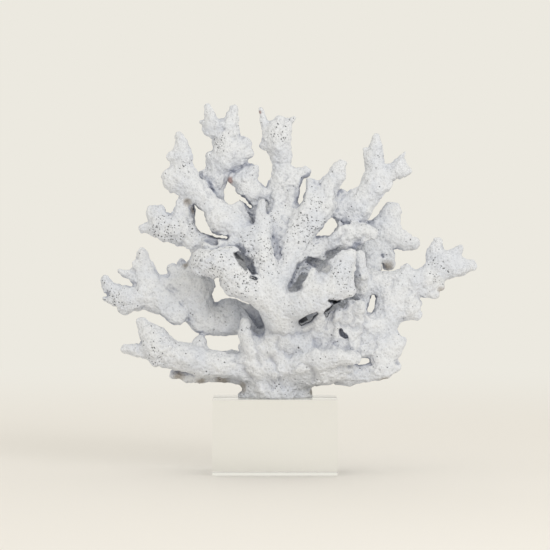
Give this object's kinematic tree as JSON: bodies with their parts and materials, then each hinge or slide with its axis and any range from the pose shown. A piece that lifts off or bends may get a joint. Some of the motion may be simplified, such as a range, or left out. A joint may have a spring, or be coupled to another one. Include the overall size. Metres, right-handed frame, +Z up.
{
  "type": "branching coral on a clear block",
  "caption": "Bushy branching coral with blunt forked fingers, white and finely pored, cut off flat at its foot and fixed on a clear rectangular block.",
  "frame": {"origin": "centre of the clear block's underside", "axes": "+Z up, out of the block towards the coral; +X along the block's long side, which is also the coral's widest spread; -Y is the front"},
  "size_m": [0.2434, 0.1061, 0.2388],
  "materials": {
    "coral_white": "matte",
    "clear_acrylic": "polished"
  },
  "bodies": {
    "root": {"acrylic_block": "clear_acrylic", "foot": "coral_white", "trunk": "coral_white", "front_stem": "coral_white", "front_left_lobe": "coral_white", "front_spike": "coral_white", "front_right_lobe": "coral_white", "centre_right_branch": "coral_white", "shelf_lobe": "coral_white", "lower_left_branch": "coral_white", "left_branch": "coral_white", "far_left_branch": "coral_white", "upper_left_branch": "coral_white", "left_upper_branch": "coral_white", "top_left_branch": "coral_white", "top_centre_branch": "coral_white", "upper_middle_branch": "coral_white", "right_back_branch": "coral_white", "upper_right_branch": "coral_white", "right_branch": "coral_white", "right_fan": "coral_white", "right_knobs": "coral_white", "small_upright": "coral_white", "lower_right_lobe": "coral_white", "lower_right_branch": "coral_white", "back_left_branch": "coral_white", "back_right_branch": "coral_white", "back_upper_branch": "coral_white", "back_lower_left_branch": "coral_white", "back_lower_right_branch": "coral_white", "back_middle_right_branch": "coral_white", "back_middle_left_branch": "coral_white"}
  },
  "joints": []
}
